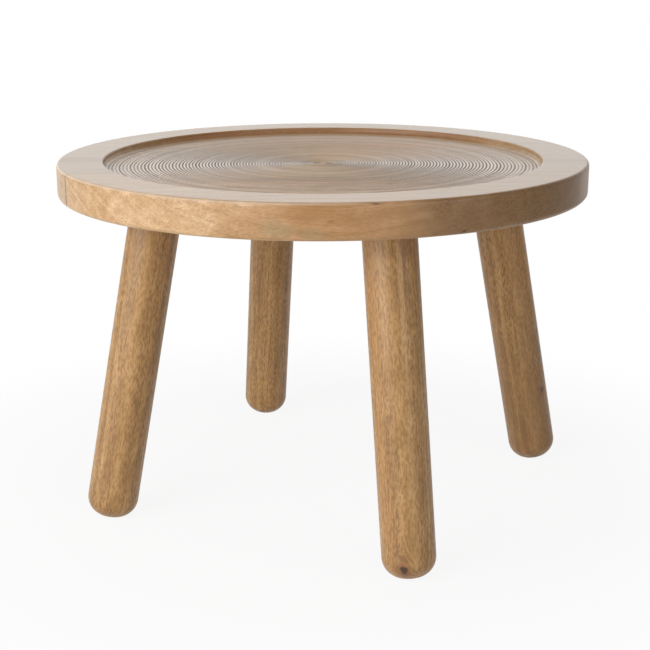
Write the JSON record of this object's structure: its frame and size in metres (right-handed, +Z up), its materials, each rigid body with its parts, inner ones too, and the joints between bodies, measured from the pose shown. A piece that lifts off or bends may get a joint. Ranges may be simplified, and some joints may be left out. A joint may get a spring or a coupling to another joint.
{
  "type": "side table",
  "caption": "Low round wooden side table with a shallow ring-turned tray top and splayed round legs that screw into its underside.",
  "frame": {"origin": "on the floor under the middle of the top", "axes": "+Z up; the legs stand near the diagonals between the X and Y axes; -Y is the front; the grain of the top runs 26 degrees round from +X"},
  "size_m": [0.6, 0.6, 0.4],
  "materials": {
    "top_wood": "satin clear lacquer over warm tan hardwood",
    "leg_wood": "satin clear lacquer over warm tan hardwood",
    "zinc_steel": "bright zinc plating",
    "brass": "bare turned brass"
  },
  "bodies": {
    "root": {"top_board_1": "top_wood", "top_board_2": "top_wood", "top_board_3": "top_wood", "top_board_4": "top_wood", "top_board_5": "top_wood", "leg_front_left": "leg_wood", "leg_front_right": "leg_wood", "leg_back_right": "leg_wood", "leg_back_left": "leg_wood", "hanger_bolt_front_left": "zinc_steel", "hanger_bolt_front_right": "zinc_steel", "hanger_bolt_back_right": "zinc_steel", "hanger_bolt_back_left": "zinc_steel", "insert_front_left": "brass", "insert_front_right": "brass", "insert_back_right": "brass", "insert_back_left": "brass"}
  },
  "joints": []
}
